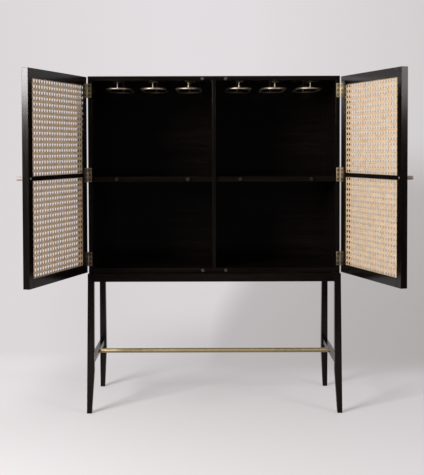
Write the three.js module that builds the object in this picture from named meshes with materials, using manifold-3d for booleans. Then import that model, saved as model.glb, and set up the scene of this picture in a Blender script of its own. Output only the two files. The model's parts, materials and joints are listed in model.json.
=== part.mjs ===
// Bar armoire with two cane doors on a leg frame with a brass rail, doors standing open.
// Millimetres, +Z up, front towards -Y. The origin is under the middle of the part, on the floor.

import * as THREE from 'three';
import { mergeVertices } from 'three/addons/utils/BufferGeometryUtils.js';
import Module from 'manifold-3d';

const wasm = await Module();
wasm.setup();

// Shared clearances
const fit = 0.3;
const overrun = 2;

// Carcass
const carcassWidth = 1000;
const carcassHeight = 783;
const carcassDepth = 432;
const topThickness = 18;
const bottomThickness = 20;
const sideThickness = 17;
const dividerThickness = 14;
const backThickness = 8;
const backInset = 34;
const backGrooveDepth = 5;

// Shelves
const shelfThickness = 20;
const shelfHeight = 941;
const shelfSetback = 14;
const shelfGrooveDepth = 4;

// Stemware rails
const stemRodRadius = 4;
const stemLoopWidth = 105;
const stemLoopFront = 56;
const stemLoopLength = 310;
const stemPitch = 143;
const stemDrop = 27;
const stemPostRadius = 3;
const stemFlangeRadius = 19;
const stemFlangeThickness = 3;
const stemsPerBay = 3;

// Leg frame
const legHeight = 525;
const apronHeight = 32;
const apronThickness = 20;
const frontApronDepth = 46;
const apronSetback = 1;
const legTopWidth = 25.5;
const legKneeWidth = 28;
const legFootWidth = 19;
const legKneeHeight = 170;
const legProudWidth = 2;
const frontLegSplayWidth = 6;
const legRakeDepth = 4;
const stretcherWidth = 20;
const stretcherHeight = 20;
const railHeight = 205;
const railRadius = 9.5;

// Doors
const doorThickness = 25;
const doorBottomGap = 3;
const doorTopGap = 3;
const doorMeetingGap = 3;
const doorBackGap = 1;
const doorOpenDegrees = 107;
const stileWidth = 32;
const endRailHeight = 34;
const midRailHeight = 16;
const caneThickness = 3;
const caneSetback = 7;
const caneEdge = 6;
const caneColumns = 8;
const caneRows = 7;
const caneHoleShare = 0.7;

// Knobs
const knobRadius = 7;
const knobLength = 28;
const knobEdge = 1;
const knobScrewRadius = 2;
const knobScrewHeadRadius = 4.5;
const knobScrewHeadHeight = 2;
const knobScrewGrip = 12;

// Magnetic catches, let into the front edges of the top and the bottom
const magnetRadius = 6.5;
const magnetLength = 6;
const magnetInset = 46;
const magnetDrop = 10;
const magnetProud = 0.3;

// Hinges
const hingeHeight = 55;
const hingeEndDistance = 54;
const knuckleCount = 3;
const knuckleRadius = 2.4;
const knuckleClearance = 0.3;
const knuckleWall = 0.9;
const pinClearance = 0.3;
const pinTipRadius = 1.9;
const pinTipHeight = 1.2;
const leafWidth = 13.5;
const leafThickness = 2;
const leafScrewRadius = 1.8;
const leafScrewHeadRadius = 3.2;
const leafScrewHeadDepth = 1.6;
const leafScrewSpacing = 18;
const screwsPerLeaf = 3;

// Facets
const fineSides = 24;
const roundSides = 12;
const smallSides = 8;
const bendSteps = 8;

// Sizes that follow
const baseTop = legHeight + apronHeight;
const carcassTop = baseTop + carcassHeight;
const floorTop = baseTop + bottomThickness;
const ceiling = carcassTop - topThickness;
const halfWidth = carcassWidth / 2;
const innerHalf = halfWidth - sideThickness;
const dividerHalf = dividerThickness / 2;
const backFront = carcassDepth - backInset - backThickness;
const bayCentre = (innerHalf + dividerHalf) / 2;
const shelfUnder = shelfHeight - shelfThickness;
const doorBottom = baseTop + doorBottomGap;
const doorTop = carcassTop - doorTopGap;
const doorMiddle = (doorBottom + doorTop) / 2;
const doorWidth = halfWidth - doorMeetingGap / 2;
const pinOffset = knuckleRadius + knuckleClearance;
const pinRadius = knuckleRadius - knuckleWall - pinClearance;
const pinX = halfWidth + pinOffset;
const pinY = -doorBackGap / 2;
const hingeHeights = {
  lower: doorBottom + hingeEndDistance,
  middle: doorMiddle,
  upper: doorTop - hingeEndDistance,
};

const alongX = new THREE.Vector3(1, 0, 0);
const alongY = new THREE.Vector3(0, 1, 0);
const alongZ = new THREE.Vector3(0, 0, 1);
const forwards = new THREE.Vector3(0, -1, 0);
const sideNames = { left: -1, right: 1 };

// Materials
const blackWood = { color: 0x2b2522, roughness: 0.5, metalness: 0 };
const brass = { color: 0xb99a5b, roughness: 0.32, metalness: 1 };
const steel = { color: 0x9a9a98, roughness: 0.35, metalness: 1 };
const cane = { color: 0xcdb695, roughness: 0.75, metalness: 0 };

const part = new THREE.Group();

function addPiece(parent, name, geometry, finish) {
  const mesh = new THREE.Mesh(geometry, new THREE.MeshStandardMaterial(finish));
  mesh.name = name;
  parent.add(mesh);
}

// Solids and booleans
function toManifold(geometry) {
  const bare = geometry.clone();
  bare.deleteAttribute('normal');
  bare.deleteAttribute('uv');
  const merged = mergeVertices(bare);
  const vertProperties = new Float32Array(merged.attributes.position.array);
  const triVerts = new Uint32Array(merged.index.array);
  return new wasm.Manifold(new wasm.Mesh({ numProp: 3, vertProperties, triVerts }));
}

function toGeometry(solid) {
  const mesh = solid.getMesh();
  const geometry = new THREE.BufferGeometry();
  geometry.setAttribute('position', new THREE.BufferAttribute(new Float32Array(mesh.vertProperties), 3));
  geometry.setIndex(new THREE.BufferAttribute(new Uint32Array(mesh.triVerts), 1));
  return geometry;
}

function join(first, others) {
  return toGeometry(others.reduce((solid, other) => solid.add(toManifold(other)), toManifold(first)));
}

function cut(body, cutters) {
  return toGeometry(cutters.reduce((solid, cutter) => solid.subtract(toManifold(cutter)), toManifold(body)));
}

// A box between two places on each axis, given in either order
function block(x, y, z) {
  const geometry = new THREE.BoxGeometry(Math.abs(x[1] - x[0]), Math.abs(y[1] - y[0]), Math.abs(z[1] - z[0]));
  return geometry.translate((x[0] + x[1]) / 2, (y[0] + y[1]) / 2, (z[0] + z[1]) / 2);
}

// A turned solid whose profile of [radius, place] runs along an axis
function turned(profile, axis, count) {
  const points = profile.map(([radius, place]) => new THREE.Vector2(radius, place));
  const turn = new THREE.Quaternion().setFromUnitVectors(alongY, axis);
  return new THREE.LatheGeometry(points, count).applyQuaternion(turn);
}

function cylinder(radius, start, end, axis, count) {
  return turned([[0, start], [radius, start], [radius, end], [0, end]], axis, count);
}

// Carcass panels
const backGrooveY = [backFront - fit, backFront + backThickness + fit];
const backGroove = backGrooveDepth + fit;
const magnetHeights = { upper: carcassTop - magnetDrop, lower: baseTop + magnetDrop + magnetProud };

function magnetPockets(z) {
  return Object.values(sideNames).map((side) => {
    const pocket = cylinder(magnetRadius + fit, -overrun, magnetLength, alongY, roundSides);
    return pocket.translate(side * magnetInset, 0, z);
  });
}

function buildTopPanel() {
  const panel = block([-halfWidth, halfWidth], [0, carcassDepth], [ceiling, carcassTop]);
  const groove = block([-innerHalf - backGroove, innerHalf + backGroove], backGrooveY,
    [ceiling - overrun, ceiling + backGroove]);
  return cut(panel, [groove, ...magnetPockets(magnetHeights.upper)]);
}

function buildBottomPanel() {
  const panel = block([-halfWidth, halfWidth], [0, carcassDepth], [baseTop, floorTop]);
  const groove = block([-innerHalf - backGroove, innerHalf + backGroove], backGrooveY,
    [floorTop - backGroove, floorTop + overrun]);
  return cut(panel, [groove, ...magnetPockets(magnetHeights.lower)]);
}

// The groove that houses a shelf's end in the face of an upright, where into is the way into the wood
function shelfGroove(face, into) {
  return block([face - into * overrun, face + into * (shelfGrooveDepth + fit)],
    [shelfSetback - fit, backFront + overrun], [shelfUnder - fit, shelfHeight + fit]);
}

function buildSidePanel(side) {
  const panel = block([side * innerHalf, side * halfWidth], [0, carcassDepth], [floorTop, ceiling]);
  const groove = block([side * (innerHalf - overrun), side * (innerHalf + backGroove)], backGrooveY,
    [floorTop - overrun, ceiling + overrun]);
  const mortises = Object.values(hingeHeights).map((z) => block(
    [side * (halfWidth - leafWidth - fit), side * (halfWidth + overrun)],
    [-overrun, leafThickness + fit],
    [z - hingeHeight / 2 - fit, z + hingeHeight / 2 + fit]));
  return cut(panel, [groove, shelfGroove(side * innerHalf, side), ...mortises]);
}

function buildDivider() {
  const panel = block([-dividerHalf, dividerHalf], [0, backFront], [floorTop, ceiling]);
  return cut(panel, [shelfGroove(-dividerHalf, 1), shelfGroove(dividerHalf, -1)]);
}

function buildBackPanel() {
  return block([-innerHalf - backGrooveDepth, innerHalf + backGrooveDepth],
    [backFront, backFront + backThickness], [floorTop - backGrooveDepth, ceiling + backGrooveDepth]);
}

function buildShelf(side) {
  return block([side * (dividerHalf - shelfGrooveDepth), side * (innerHalf + shelfGrooveDepth)],
    [shelfSetback, backFront - fit], [shelfUnder, shelfHeight]);
}

// A closed rod loop with round ends, carried on two posts with round flanges
function buildStemwareRail(x) {
  const bendRadius = stemLoopWidth / 2 - stemRodRadius;
  const z = ceiling - stemDrop;
  const bendY = [stemLoopFront + stemLoopWidth / 2, stemLoopFront + stemLoopLength - stemLoopWidth / 2];
  const positions = [];
  bendY.forEach((centreY, end) => {
    for (let step = 0; step <= bendSteps; step += 1) {
      const angle = Math.PI * (1 + end + step / bendSteps);
      for (let corner = 0; corner < smallSides; corner += 1) {
        const turn = (corner / smallSides) * 2 * Math.PI;
        const reach = bendRadius + stemRodRadius * Math.cos(turn);
        positions.push(x + reach * Math.cos(angle), centreY + reach * Math.sin(angle),
          z + stemRodRadius * Math.sin(turn));
      }
    }
  });
  const rings = 2 * (bendSteps + 1);
  const indices = [];
  for (let ring = 0; ring < rings; ring += 1) {
    const start = ring * smallSides;
    const ahead = ((ring + 1) % rings) * smallSides;
    for (let corner = 0; corner < smallSides; corner += 1) {
      const after = (corner + 1) % smallSides;
      indices.push(start + corner, ahead + corner, ahead + after);
      indices.push(start + corner, ahead + after, start + after);
    }
  }
  const loop = new THREE.BufferGeometry();
  loop.setAttribute('position', new THREE.Float32BufferAttribute(positions, 3));
  loop.setIndex(indices);
  const postY = [stemLoopFront + stemRodRadius, stemLoopFront + stemLoopLength - stemRodRadius];
  const posts = postY.map((y) => turned([
    [0, z],
    [stemPostRadius, z],
    [stemPostRadius, ceiling - stemFlangeThickness],
    [stemFlangeRadius, ceiling - stemFlangeThickness],
    [stemFlangeRadius, ceiling],
    [0, ceiling],
  ], alongZ, roundSides).translate(x, y, 0));
  return join(loop, posts);
}

// A leg's width and lean at a height: the outer faces lean straight, the inner ones taper below the knee
function legWidthAt(z) {
  const { mapLinear } = THREE.MathUtils;
  if (z >= legKneeHeight) {
    return mapLinear(Math.min(z, legHeight), legKneeHeight, legHeight, legKneeWidth, legTopWidth);
  }
  return mapLinear(z, 0, legKneeHeight, legFootWidth, legKneeWidth);
}

function legSection(side, rear, z) {
  const width = legWidthAt(z);
  const lean = 1 - Math.min(z / legHeight, 1);
  const outerX = halfWidth + legProudWidth + (rear ? 0 : frontLegSplayWidth * lean);
  const outerY = rear ? carcassDepth + legRakeDepth * lean : -doorThickness - legRakeDepth * lean;
  const innerY = rear ? outerY - width : outerY + width;
  return { x: [side * outerX, side * (outerX - width)], y: [outerY, innerY] };
}

function buildLeg(side, rear) {
  const levels = [0, legKneeHeight, legHeight, baseTop];
  const positions = levels.flatMap((z) => {
    const section = legSection(side, rear, z);
    const [west, east] = section.x.toSorted((a, b) => a - b);
    const [south, north] = section.y.toSorted((a, b) => a - b);
    return [west, south, z, east, south, z, east, north, z, west, north, z];
  });
  const corners = 4;
  const top = (levels.length - 1) * corners;
  const indices = [0, 2, 1, 0, 3, 2, top, top + 1, top + 2, top, top + 2, top + 3];
  for (let low = 0; low < top; low += corners) {
    for (let corner = 0; corner < corners; corner += 1) {
      const start = low + corner;
      const next = low + (corner + 1) % corners;
      indices.push(start, next, next + corners, start, next + corners, start + corners);
    }
  }
  const geometry = new THREE.BufferGeometry();
  geometry.setAttribute('position', new THREE.Float32BufferAttribute(positions, 3));
  geometry.setIndex(indices);
  return geometry;
}

// Aprons between the leg tops, flush with the closed doors in front
const legInnerX = halfWidth + legProudWidth - legTopWidth;
const frontApronY = [-doorThickness + apronSetback, -doorThickness + apronSetback + frontApronDepth];
const rearApronY = [carcassDepth - apronSetback - apronThickness, carcassDepth - apronSetback];
const sideApronY = [-doorThickness + legTopWidth, carcassDepth - legTopWidth];

function buildCrossApron(y) {
  return block([-legInnerX, legInnerX], y, [legHeight, baseTop]);
}

function buildSideApron(side) {
  return block([side * (halfWidth - apronThickness), side * halfWidth], sideApronY, [legHeight, baseTop]);
}

// Side stretchers between the legs, with the brass rail let between them
const stretcherX = [halfWidth - stretcherWidth, halfWidth];
const stretcherZ = [railHeight - stretcherHeight / 2, railHeight + stretcherHeight / 2];
const stretcherY = [
  Math.max(...stretcherZ.map((z) => legSection(sideNames.right, false, z).y[1])) + fit,
  Math.min(...stretcherZ.map((z) => legSection(sideNames.right, true, z).y[1])) - fit,
];
const railY = (stretcherY[0] + stretcherY[1]) / 2;

function buildStretcher(side) {
  return block(stretcherX.map((x) => side * x), stretcherY, stretcherZ);
}

function buildBrassRail() {
  const rail = cylinder(railRadius, -stretcherX[0], stretcherX[0], alongX, fineSides);
  return rail.translate(0, railY, railHeight);
}

// Magnets
function buildMagnet(side, z) {
  return cylinder(magnetRadius, -magnetProud, magnetLength - fit, alongY, roundSides)
    .translate(side * magnetInset, 0, z);
}

// Hinges: the frame leaf has the outer knuckles and the fast pin, the door leaf has the middle knuckle.
// Each is drawn about the pin, where inward points to the panel and into is the way into the wood.
const leafHalf = hingeHeight / 2;
const middleHalf = leafHalf / knuckleCount;
const leafRoot = knuckleRadius - knuckleWall + fit;

function leafHoles(inward, faceY, into) {
  const profile = [
    [0, -overrun],
    [leafScrewHeadRadius, -overrun],
    [leafScrewHeadRadius, 0],
    [leafScrewRadius, leafScrewHeadDepth],
    [leafScrewRadius, leafThickness + overrun],
    [0, leafThickness + overrun],
  ];
  const axis = alongY.clone().multiplyScalar(into);
  return Array.from({ length: screwsPerLeaf }, (unused, index) =>
    turned(profile, axis, smallSides).translate(inward * (pinOffset + leafWidth / 2), faceY,
      (index - (screwsPerLeaf - 1) / 2) * leafScrewSpacing));
}

function hingeLeaf(inward, into, spans, knuckles) {
  const faceY = into * doorBackGap / 2;
  const leafY = [faceY, faceY + into * leafThickness];
  const plate = block([inward * pinOffset, inward * (pinOffset + leafWidth)], leafY, [-leafHalf, leafHalf]);
  const tabs = spans.map((span) => block([inward * leafRoot, inward * (pinOffset + overrun)], leafY, span));
  return cut(join(plate, [...tabs, ...knuckles]), leafHoles(inward, faceY, into));
}

function buildFrameLeaf(side, z) {
  const spans = [[-leafHalf, -middleHalf - fit], [middleHalf + fit, leafHalf]];
  const pin = turned([
    [0, -leafHalf - pinTipHeight],
    [pinTipRadius, -leafHalf - pinTipHeight],
    [pinTipRadius, -leafHalf],
    [knuckleRadius, -leafHalf],
    [knuckleRadius, -middleHalf - fit],
    [pinRadius, -middleHalf - fit],
    [pinRadius, middleHalf + fit],
    [knuckleRadius, middleHalf + fit],
    [knuckleRadius, leafHalf],
    [pinTipRadius, leafHalf],
    [pinTipRadius, leafHalf + pinTipHeight],
    [0, leafHalf + pinTipHeight],
  ], alongZ, roundSides);
  return hingeLeaf(-side, 1, spans, [pin]).translate(side * pinX, pinY, z);
}

function buildDoorLeaf(inward, z) {
  const bore = knuckleRadius - knuckleWall;
  const barrel = cut(cylinder(knuckleRadius, -middleHalf, middleHalf, alongZ, roundSides),
    [cylinder(bore, -middleHalf - overrun, middleHalf + overrun, alongZ, roundSides)]);
  return hingeLeaf(inward, -1, [[-middleHalf, middleHalf]], [barrel]).translate(0, 0, z);
}

// Lattice lines along one side of a net: its border, then each hole's two edges, then its border
function netLines(size, count) {
  const cell = size / count;
  const margin = cell * (1 - caneHoleShare) / 2;
  const holes = Array.from({ length: count }, (unused, index) =>
    [index * cell + margin, (index + 1) * cell - margin]);
  return [-caneEdge, ...holes.flat(), size + caneEdge];
}

// A flat net with square holes, standing in the XZ plane with its thickness towards -Y
function buildNet(width, height) {
  const xLines = netLines(width, caneColumns);
  const zLines = netLines(height, caneRows);
  const positions = [0, -caneThickness].flatMap((y) =>
    zLines.flatMap((z) => xLines.flatMap((x) => [x, y, z])));
  const layer = xLines.length * zLines.length;
  const isSolid = (column, row) => column >= 0 && row >= 0 && column < xLines.length - 1
    && row < zLines.length - 1 && !(column % 2 && row % 2);
  const indices = [];
  const quad = (a, b, c, d) => indices.push(a, b, c, a, c, d);
  const steps = [[0, -1], [1, 0], [0, 1], [-1, 0]];
  for (let row = 0; row < zLines.length - 1; row += 1) {
    for (let column = 0; column < xLines.length - 1; column += 1) {
      if (isSolid(column, row)) {
        const start = row * xLines.length + column;
        const back = [start, start + 1, start + 1 + xLines.length, start + xLines.length];
        const front = back.map((corner) => corner + layer);
        quad(back[0], back[3], back[2], back[1]);
        quad(front[0], front[1], front[2], front[3]);
        steps.forEach(([stepX, stepZ], index) => {
          const next = (index + 1) % steps.length;
          if (!isSolid(column + stepX, row + stepZ)) {
            quad(front[index], back[index], back[next], front[next]);
          }
        });
      }
    }
  }
  const geometry = new THREE.BufferGeometry();
  geometry.setAttribute('position', new THREE.Float32BufferAttribute(positions, 3));
  geometry.setIndex(indices);
  return geometry;
}

// Door frame openings, as heights and as places across the door
const caneHeights = {
  lower: [doorBottom + endRailHeight, doorMiddle - midRailHeight / 2],
  upper: [doorMiddle + midRailHeight / 2, doorTop - endRailHeight],
};
const caneAcross = [stileWidth, doorWidth - stileWidth];
const doorRails = {
  bottom: [doorBottom, doorBottom + endRailHeight],
  middle: [doorMiddle - midRailHeight / 2, doorMiddle + midRailHeight / 2],
  top: [doorTop - endRailHeight, doorTop],
};

// A door drawn closed about its own pin and then turned open.
// Across it, u runs inward from the hinge edge and v runs forwards from the back face.
function buildDoor(label, side) {
  const inward = -side;
  const door = new THREE.Group();
  const placeX = (u) => inward * (pinOffset + u);
  const placeY = (v) => -doorBackGap / 2 - v;
  const slab = (u, v, z) => block(u.map(placeX), v.map(placeY), z);

  // Grooves that hold the edges of the cane
  const grooveEdge = caneEdge + fit;
  const grooves = Object.values(caneHeights).map(([low, high]) => slab(
    [caneAcross[0] - grooveEdge, caneAcross[1] + grooveEdge],
    [caneSetback - fit, caneSetback + caneThickness + fit],
    [low - grooveEdge, high + grooveEdge]));

  const mortises = Object.values(hingeHeights).map((z) => slab(
    [-overrun, leafWidth + fit],
    [-overrun, leafThickness + fit],
    [z - hingeHeight / 2 - fit, z + hingeHeight / 2 + fit]));
  const hingeStile = slab([0, stileWidth], [0, doorThickness], [doorBottom, doorTop]);
  addPiece(door, `${label}_hinge_stile`, cut(hingeStile, [...grooves, ...mortises]), blackWood);

  const knobX = placeX(doorWidth - stileWidth / 2);
  const screwHole = cylinder(knobScrewRadius + fit, -overrun, doorThickness + overrun, forwards, smallSides)
    .translate(knobX, placeY(0), doorMiddle);
  const freeStile = slab([doorWidth - stileWidth, doorWidth], [0, doorThickness], [doorBottom, doorTop]);
  addPiece(door, `${label}_free_stile`, cut(freeStile, [...grooves, screwHole]), blackWood);

  for (const [name, z] of Object.entries(doorRails)) {
    const rail = slab([stileWidth + fit, doorWidth - stileWidth - fit], [0, doorThickness], z);
    addPiece(door, `${label}_${name}_rail`, cut(rail, grooves), blackWood);
  }

  for (const [name, [low, high]] of Object.entries(caneHeights)) {
    const net = buildNet(caneAcross[1] - caneAcross[0], high - low);
    const startX = Math.min(...caneAcross.map(placeX));
    addPiece(door, `${label}_cane_${name}`, net.translate(startX, placeY(caneSetback), low), cane);
  }

  // Knob on the outer face, held by a screw from the back
  const screwEnd = doorThickness + knobScrewGrip;
  const knob = turned([
    [0, doorThickness + fit],
    [knobRadius, doorThickness + fit],
    [knobRadius, doorThickness + knobLength - knobEdge],
    [knobRadius - knobEdge, doorThickness + knobLength],
    [0, doorThickness + knobLength],
  ], forwards, fineSides);
  const knobHole = cylinder(knobScrewRadius + fit, doorThickness, screwEnd + fit, forwards, smallSides);
  const knobScrew = turned([
    [0, -knobScrewHeadHeight],
    [knobScrewHeadRadius / 2, -knobScrewHeadHeight],
    [knobScrewHeadRadius, -fit],
    [knobScrewRadius, -fit],
    [knobScrewRadius, screwEnd],
    [0, screwEnd],
  ], forwards, smallSides);
  addPiece(door, `${label}_knob`, cut(knob, [knobHole]).translate(knobX, placeY(0), doorMiddle), brass);
  addPiece(door, `${label}_knob_screw`, knobScrew.translate(knobX, placeY(0), doorMiddle), brass);

  for (const [name, z] of Object.entries(hingeHeights)) {
    addPiece(door, `${label}_hinge_leaf_${name}`, buildDoorLeaf(inward, z), brass);
  }

  door.position.set(side * pinX, pinY, 0);
  door.rotation.z = side * THREE.MathUtils.degToRad(doorOpenDegrees);
  return door;
}

// Assembly
addPiece(part, 'top_panel', buildTopPanel(), blackWood);
addPiece(part, 'bottom_panel', buildBottomPanel(), blackWood);
addPiece(part, 'centre_divider', buildDivider(), blackWood);
addPiece(part, 'back_panel', buildBackPanel(), blackWood);
addPiece(part, 'apron_front', buildCrossApron(frontApronY), blackWood);
addPiece(part, 'apron_rear', buildCrossApron(rearApronY), blackWood);
addPiece(part, 'brass_rail', buildBrassRail(), brass);

for (const [name, side] of Object.entries(sideNames)) {
  addPiece(part, `side_panel_${name}`, buildSidePanel(side), blackWood);
  addPiece(part, `shelf_${name}`, buildShelf(side), blackWood);
  addPiece(part, `leg_front_${name}`, buildLeg(side, false), blackWood);
  addPiece(part, `leg_rear_${name}`, buildLeg(side, true), blackWood);
  addPiece(part, `apron_${name}`, buildSideApron(side), blackWood);
  addPiece(part, `side_stretcher_${name}`, buildStretcher(side), blackWood);
  for (const [place, z] of Object.entries(magnetHeights)) {
    addPiece(part, `catch_magnet_${name}_${place}`, buildMagnet(side, z), steel);
  }
  for (const [place, z] of Object.entries(hingeHeights)) {
    addPiece(part, `frame_hinge_leaf_${name}_${place}`, buildFrameLeaf(side, z), brass);
  }
  for (let index = 0; index < stemsPerBay; index += 1) {
    const x = side * bayCentre + (index - (stemsPerBay - 1) / 2) * stemPitch;
    addPiece(part, `stemware_rail_${name}_${index + 1}`, buildStemwareRail(x), brass);
  }
  part.add(buildDoor(`${name}_door`, side));
}

// The origin moves under the middle of the whole part as it stands
part.updateMatrixWorld(true);
const middle = new THREE.Box3().setFromObject(part).getCenter(new THREE.Vector3());
part.position.y = -middle.y;
part.updateMatrixWorld(true);

export default part;
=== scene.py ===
# Looks of the bar armoire: camera, light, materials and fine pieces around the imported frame.

import json
import math

import bmesh
import bpy
from mathutils import Matrix, Vector


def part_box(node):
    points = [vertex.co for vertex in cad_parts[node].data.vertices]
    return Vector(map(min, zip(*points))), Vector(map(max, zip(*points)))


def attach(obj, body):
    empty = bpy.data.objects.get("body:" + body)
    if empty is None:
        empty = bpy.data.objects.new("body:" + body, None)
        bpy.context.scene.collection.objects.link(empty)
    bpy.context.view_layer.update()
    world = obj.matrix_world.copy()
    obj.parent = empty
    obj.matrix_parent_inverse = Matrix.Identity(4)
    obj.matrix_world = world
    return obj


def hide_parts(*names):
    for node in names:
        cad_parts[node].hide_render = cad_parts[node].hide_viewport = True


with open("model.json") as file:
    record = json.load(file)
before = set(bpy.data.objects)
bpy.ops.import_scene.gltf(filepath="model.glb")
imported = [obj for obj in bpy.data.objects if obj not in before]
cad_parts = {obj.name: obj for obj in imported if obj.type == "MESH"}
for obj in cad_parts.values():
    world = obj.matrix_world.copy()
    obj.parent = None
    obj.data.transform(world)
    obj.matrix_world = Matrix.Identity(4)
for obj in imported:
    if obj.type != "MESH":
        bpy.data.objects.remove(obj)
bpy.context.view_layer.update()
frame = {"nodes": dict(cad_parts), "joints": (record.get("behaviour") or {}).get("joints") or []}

MM = 0.001
SIDES = {"left": -1, "right": 1}
HEIGHT_NAMES = ("lower", "middle", "upper")

# Places and sizes that follow the frame
FRONT_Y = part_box("side_panel_left")[0].y
HALF_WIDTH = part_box("side_panel_right")[1].x
DOOR_LOW, DOOR_HIGH = (corner.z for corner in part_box("left_door_hinge_stile"))
JOINTS = {joint["child"]: joint for joint in frame["joints"]}
HINGE_BOXES = {name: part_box(f"left_door_hinge_leaf_{name}") for name in HEIGHT_NAMES}
HINGE_Z = {name: (low.z + high.z) / 2 for name, (low, high) in HINGE_BOXES.items()}
HINGE_HALF = (HINGE_BOXES["middle"][1].z - HINGE_BOXES["middle"][0].z) / 2
PIN_OFFSET = JOINTS["right_door"]["pos_m"][0] - HALF_WIDTH

# Hinge and door sizes, as in the frame
HALF_GAP = 0.5 * MM
DOOR_THICKNESS = 25 * MM
DOOR_WIDTH = HALF_WIDTH - 1.5 * MM
STILE_WIDTH = 32 * MM
CANE_CENTRE = 8.5 * MM
LEAF_WIDTH = 13.5 * MM
LEAF_THICKNESS = 2 * MM
KNUCKLE_RADIUS = 2.4 * MM
KNUCKLE_GAP = 0.3 * MM
LEAF_ROOT = 1.8 * MM
SCREW_SPACING = 18 * MM
CATCH_INSET = 46 * MM

# Cane weave
CANE_PITCH = 20.7 * MM
CANE_PAIR_HALF = 2.5 * MM
CANE_STRAND_WIDTH = 3.1 * MM
CANE_STRAND_THICKNESS = 1.05 * MM
CANE_STRAND_EDGE = 0.45 * MM
CANE_WEAVE_RISE = 0.42 * MM
CANE_DIAGONAL_RISE = 0.78 * MM
CANE_TUCK = 5 * MM
# Sides of a strand's section that carry painted shade: the cut sides and the eased edges
CANE_PAINTED_SHADE_SIDES = (1, 2, 4, 5)

# Facets and small clearances
FINE_SIDES = 48
ROUND_SIDES = 32
SMALL_SIDES = 24
QUARTER_STEPS = 6
BEVEL_SEGMENTS = 2
TOUCH_GAP = 0.3 * MM
SLACK = 0.1 * MM
SMOOTH_ANGLE = math.radians(40)


def door_matrix(side):
    """Places a piece drawn about the pin with the door closed where the open door is."""
    joint = JOINTS[f"{side}_door"]
    pin = Vector((joint["pos_m"][0], joint["pos_m"][1], 0))
    opening = math.radians(-joint["range_deg"][0])
    return Matrix.Translation(pin) @ Matrix.Rotation(SIDES[side] * opening, 4, "Z")


CABINET = Matrix.Translation((0, FRONT_Y, 0))
DOORS = {side: door_matrix(side) for side in SIDES}


def pin_place(side):
    """Places a piece drawn about the pin and fixed to the cabinet."""
    joint = JOINTS[f"{side}_door"]
    return Matrix.Translation((joint["pos_m"][0], joint["pos_m"][1], 0))


# Shapes, each added to a bmesh

def add_faces(bm, points, faces, place):
    """Adds points, moved by place, and faces given as point numbers."""
    corners = [bm.verts.new(place @ Vector(point)) for point in points]
    for face in faces:
        bm.faces.new([corners[index] for index in face])


def add_lathe(bm, profile, axis, place, sides):
    """Turns a profile of (radius, place along the axis), from axis to axis, into a closed solid."""
    turn = Vector((0, 0, 1)).rotation_difference(Vector(axis)).to_matrix().to_4x4()
    points, rings = [], []
    for radius, along in profile:
        if radius == 0:
            rings.append([len(points)])
            points.append((0, 0, along))
            continue
        rings.append(list(range(len(points), len(points) + sides)))
        for step in range(sides):
            angle = 2 * math.pi * step / sides
            points.append((radius * math.cos(angle), radius * math.sin(angle), along))
    faces = []
    for low, high in zip(rings, rings[1:]):
        for step in range(sides):
            after = (step + 1) % sides
            if len(low) == 1:
                faces.append((low[0], high[after], high[step]))
            elif len(high) == 1:
                faces.append((low[step], low[after], high[0]))
            else:
                faces.append((low[step], low[after], high[after], high[step]))
    add_faces(bm, points, faces, place @ turn)


def add_box(bm, low, high, place, edge=0.0):
    """A box between two corners, with its edges rounded if edge is given."""
    low, high = Vector(map(min, low, high)), Vector(map(max, low, high))
    middle, size = (low + high) / 2, high - low
    made = bmesh.ops.create_cube(bm, matrix=place @ Matrix.Translation(middle) @ Matrix.Diagonal((*size, 1)))
    if edge:
        corners = set(made["verts"])
        edges = [e for e in bm.edges if e.verts[0] in corners and e.verts[1] in corners]
        bmesh.ops.bevel(bm, geom=edges, offset=edge, segments=BEVEL_SEGMENTS, profile=0.5, affect="EDGES")


def add_prism(bm, outline, low, high, place):
    """An outline of (x, y) points raised from low to high along Z."""
    count = len(outline)
    points = [(x, y, low) for x, y in outline] + [(x, y, high) for x, y in outline]
    faces = [tuple(reversed(range(count))), tuple(range(count, 2 * count))]
    faces += [(i, (i + 1) % count, count + (i + 1) % count, count + i) for i in range(count)]
    add_faces(bm, points, faces, place)


def add_tube(bm, centres, sideways, radius, place, sides):
    """A closed round loop through centres, with each ring's sideways direction given in the XY plane."""
    rings = len(centres)
    points = []
    for centre, out in zip(centres, sideways):
        for step in range(sides):
            angle = 2 * math.pi * step / sides
            around = math.cos(angle) * Vector(out) + Vector((0, 0, math.sin(angle)))
            points.append(Vector(centre) + radius * around)
    faces = []
    for ring in range(rings):
        ahead = (ring + 1) % rings
        for step in range(sides):
            after = (step + 1) % sides
            corners = ((ring, step), (ahead, step), (ahead, after), (ring, after))
            faces.append(tuple(row * sides + place_in_row for row, place_in_row in corners))
    add_faces(bm, points, faces, place)


def finish_piece(name, bm, body, material, replaces=()):
    """Makes an object of a bmesh, shades it, and lets it ride on a body of the frame."""
    bmesh.ops.recalc_face_normals(bm, faces=bm.faces)
    mesh = bpy.data.meshes.new(name)
    bm.to_mesh(mesh)
    bm.free()
    mesh.shade_smooth()
    mesh.set_sharp_from_angle(angle=SMOOTH_ANGLE)
    mesh.materials.append(material)
    piece = bpy.data.objects.new(name, mesh)
    bpy.context.scene.collection.objects.link(piece)
    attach(piece, body)
    if replaces:
        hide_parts(*replaces)
    return piece


# Materials

def new_material(name):
    """A material with its node tree and its main shader."""
    material = bpy.data.materials.new(name)
    material.use_nodes = True
    tree = material.node_tree
    shader = tree.nodes["Principled BSDF"]
    return material, tree, shader


def add_node(tree, kind, **settings):
    """A node of a kind with its settings."""
    node = tree.nodes.new(kind)
    for key, value in settings.items():
        setattr(node, key, value)
    return node


def ramp(tree, source, stops):
    """A colour ramp over source with stops of (place, colour)."""
    node = add_node(tree, "ShaderNodeValToRGB")
    elements = node.color_ramp.elements
    while len(elements) < len(stops):
        elements.new(0.5)
    for element, (place, colour) in zip(elements, stops):
        element.position = place
        element.color = (*colour, 1)
    tree.links.new(source, node.inputs["Fac"])
    return node.outputs["Color"]


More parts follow.
